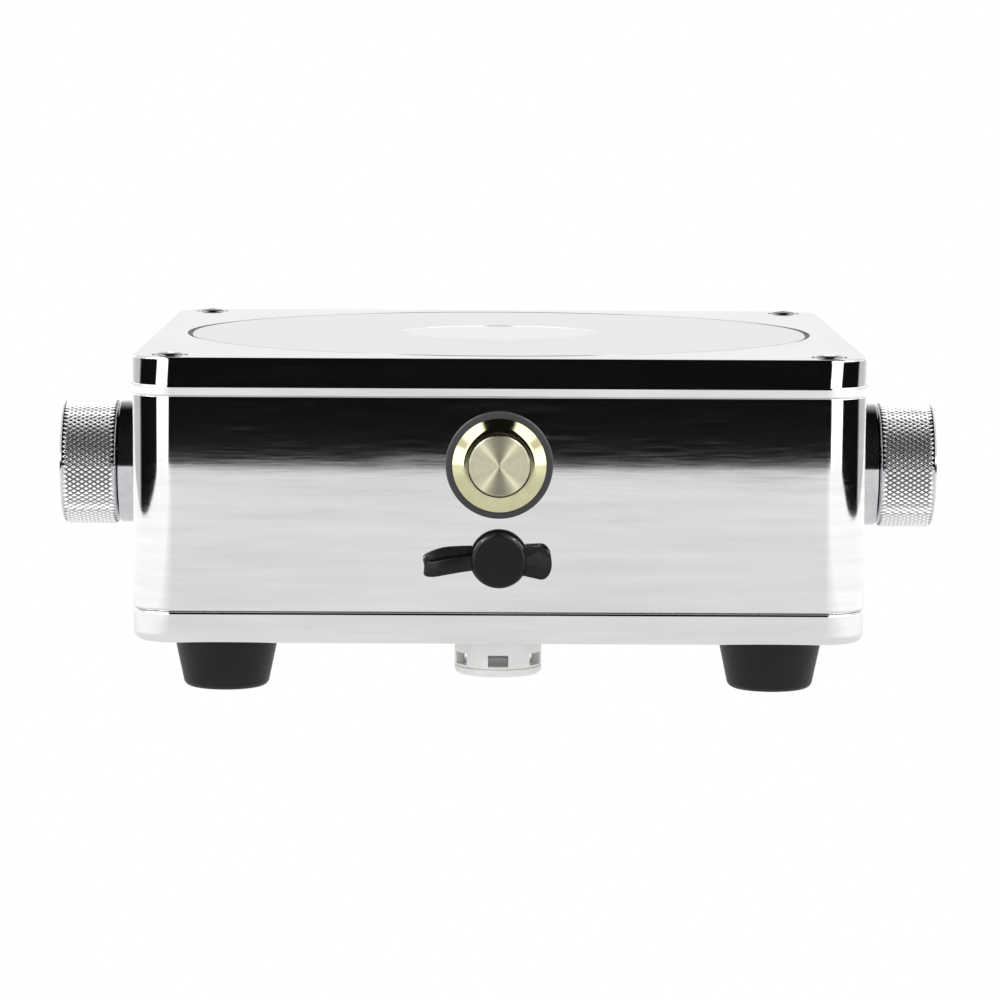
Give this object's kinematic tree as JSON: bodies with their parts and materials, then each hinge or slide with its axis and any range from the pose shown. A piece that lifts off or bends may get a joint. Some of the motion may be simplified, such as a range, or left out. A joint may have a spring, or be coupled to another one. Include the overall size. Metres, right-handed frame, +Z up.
{
  "type": "hot plate burner",
  "caption": "Square polished-metal hot plate with a flush round plate, side knobs, a front push button, a capped power socket and rubber feet.",
  "frame": {"origin": "bottom centre of the bounding box: on the floor plane under the feet; the housing's own centre is 2.7 mm behind it because the front fittings stand proud", "axes": "+Z up out of the plate, +X to the right-hand knob, -Y out of the front panel"},
  "size_m": [0.2214, 0.1799, 0.0812],
  "materials": {
    "actuator_metal": "circular-brushed stainless",
    "bezel_metal": "polished nickel-brass, warm tint",
    "black_anodised": "black anodised extrusion",
    "black_plastic": "black moulded plastic",
    "black_rubber": "matt moulded black rubber",
    "board_green": "green solder mask on glass fibre laminate",
    "brass": "plain machined brass",
    "capacitor_sleeve": "dark sleeve",
    "ceramic": "unglazed ceramic",
    "element_sheath": "heat-darkened sheath",
    "ferrite": "coated core with winding",
    "fibre": "pressed ceramic fibre",
    "green_plastic": "green moulded terminal block",
    "housing_metal": "hand-polished aluminium with fine horizontal scratches",
    "knob_metal": "knurled bright metal",
    "lead_sleeve": "red silicone sleeve",
    "plate_metal": "polished machined plate",
    "sheet_steel": "mill-finish sheet",
    "silicone": "dark heat-resistant silicone",
    "steel": "stainless fastener, lightly polished",
    "white_plastic": "white moulded nylon"
  },
  "bodies": {
    "housing": {"lid_cover": "housing_metal", "body_shell": "housing_metal", "base_cover": "housing_metal", "lid_seal": "silicone", "base_seal": "silicone", "lid_screws": "steel", "base_screws": "steel", "hot_plate": "plate_metal", "plate_seal": "silicone", "heating_element": "element_sheath", "element_bushes": "ceramic", "element_pins": "brass", "clamp_plate": "sheet_steel", "insulation_pad": "fibre", "heat_shield": "sheet_steel", "clamp_screws": "steel", "thermal_cutout": "black_plastic", "cutout_screws": "steel", "temp_probe": "brass", "probe_nut": "brass", "plate_pillars": "steel", "pillar_screws": "steel", "control_board": "board_green", "board_standoffs": "brass", "board_screws": "steel", "heatsink": "black_anodised", "power_transistors": "black_plastic", "capacitors": "capacitor_sleeve", "terminal_block": "green_plastic", "inductor": "ferrite", "controller_chip": "black_plastic", "button_bezel": "bezel_metal", "button_gasket": "black_rubber", "button_nut": "bezel_metal", "button_spring": "steel", "button_switch": "black_plastic", "button_terminals": "brass", "dc_socket": "steel", "socket_insert": "black_plastic", "socket_contacts": "brass", "socket_nut": "steel", "strap_ring": "black_rubber", "cap_strap": "black_rubber", "dial_collars": "knob_metal", "dial_pots": "sheet_steel", "dial_nuts": "steel", "feet": "black_rubber", "foot_screws": "steel", "breather_plug": "white_plastic", "breather_nut": "white_plastic", "wiring": "lead_sleeve"},
    "button": {"button_actuator": "actuator_metal"},
    "left_dial": {"left_knob": "knob_metal", "left_shaft": "steel", "left_grub": "steel"},
    "right_dial": {"right_knob": "knob_metal", "right_shaft": "steel", "right_grub": "steel"},
    "cap": {"dust_cap": "black_rubber"}
  },
  "joints": [
    {"name": "button_press", "type": "slide", "parent": "housing", "child": "button", "axis": [0, 1, 0], "range_m": [0, 0.0018], "stiffness_N_per_m": 1200, "springref_m": -0.0008, "deforming": ["button_spring"]},
    {"name": "left_dial_turn", "type": "hinge", "parent": "housing", "child": "left_dial", "pos_m": [-0.102, 0.0027, 0.0474], "axis": [-1, 0, 0], "range_deg": [-150, 150]},
    {"name": "right_dial_turn", "type": "hinge", "parent": "housing", "child": "right_dial", "pos_m": [0.102, 0.0027, 0.0474], "axis": [1, 0, 0], "range_deg": [-150, 150]},
    {"name": "cap_pull", "type": "slide", "parent": "housing", "child": "cap", "axis": [0, -1, 0], "range_m": [0, 0.009], "deforming": ["cap_strap"]}
  ]
}
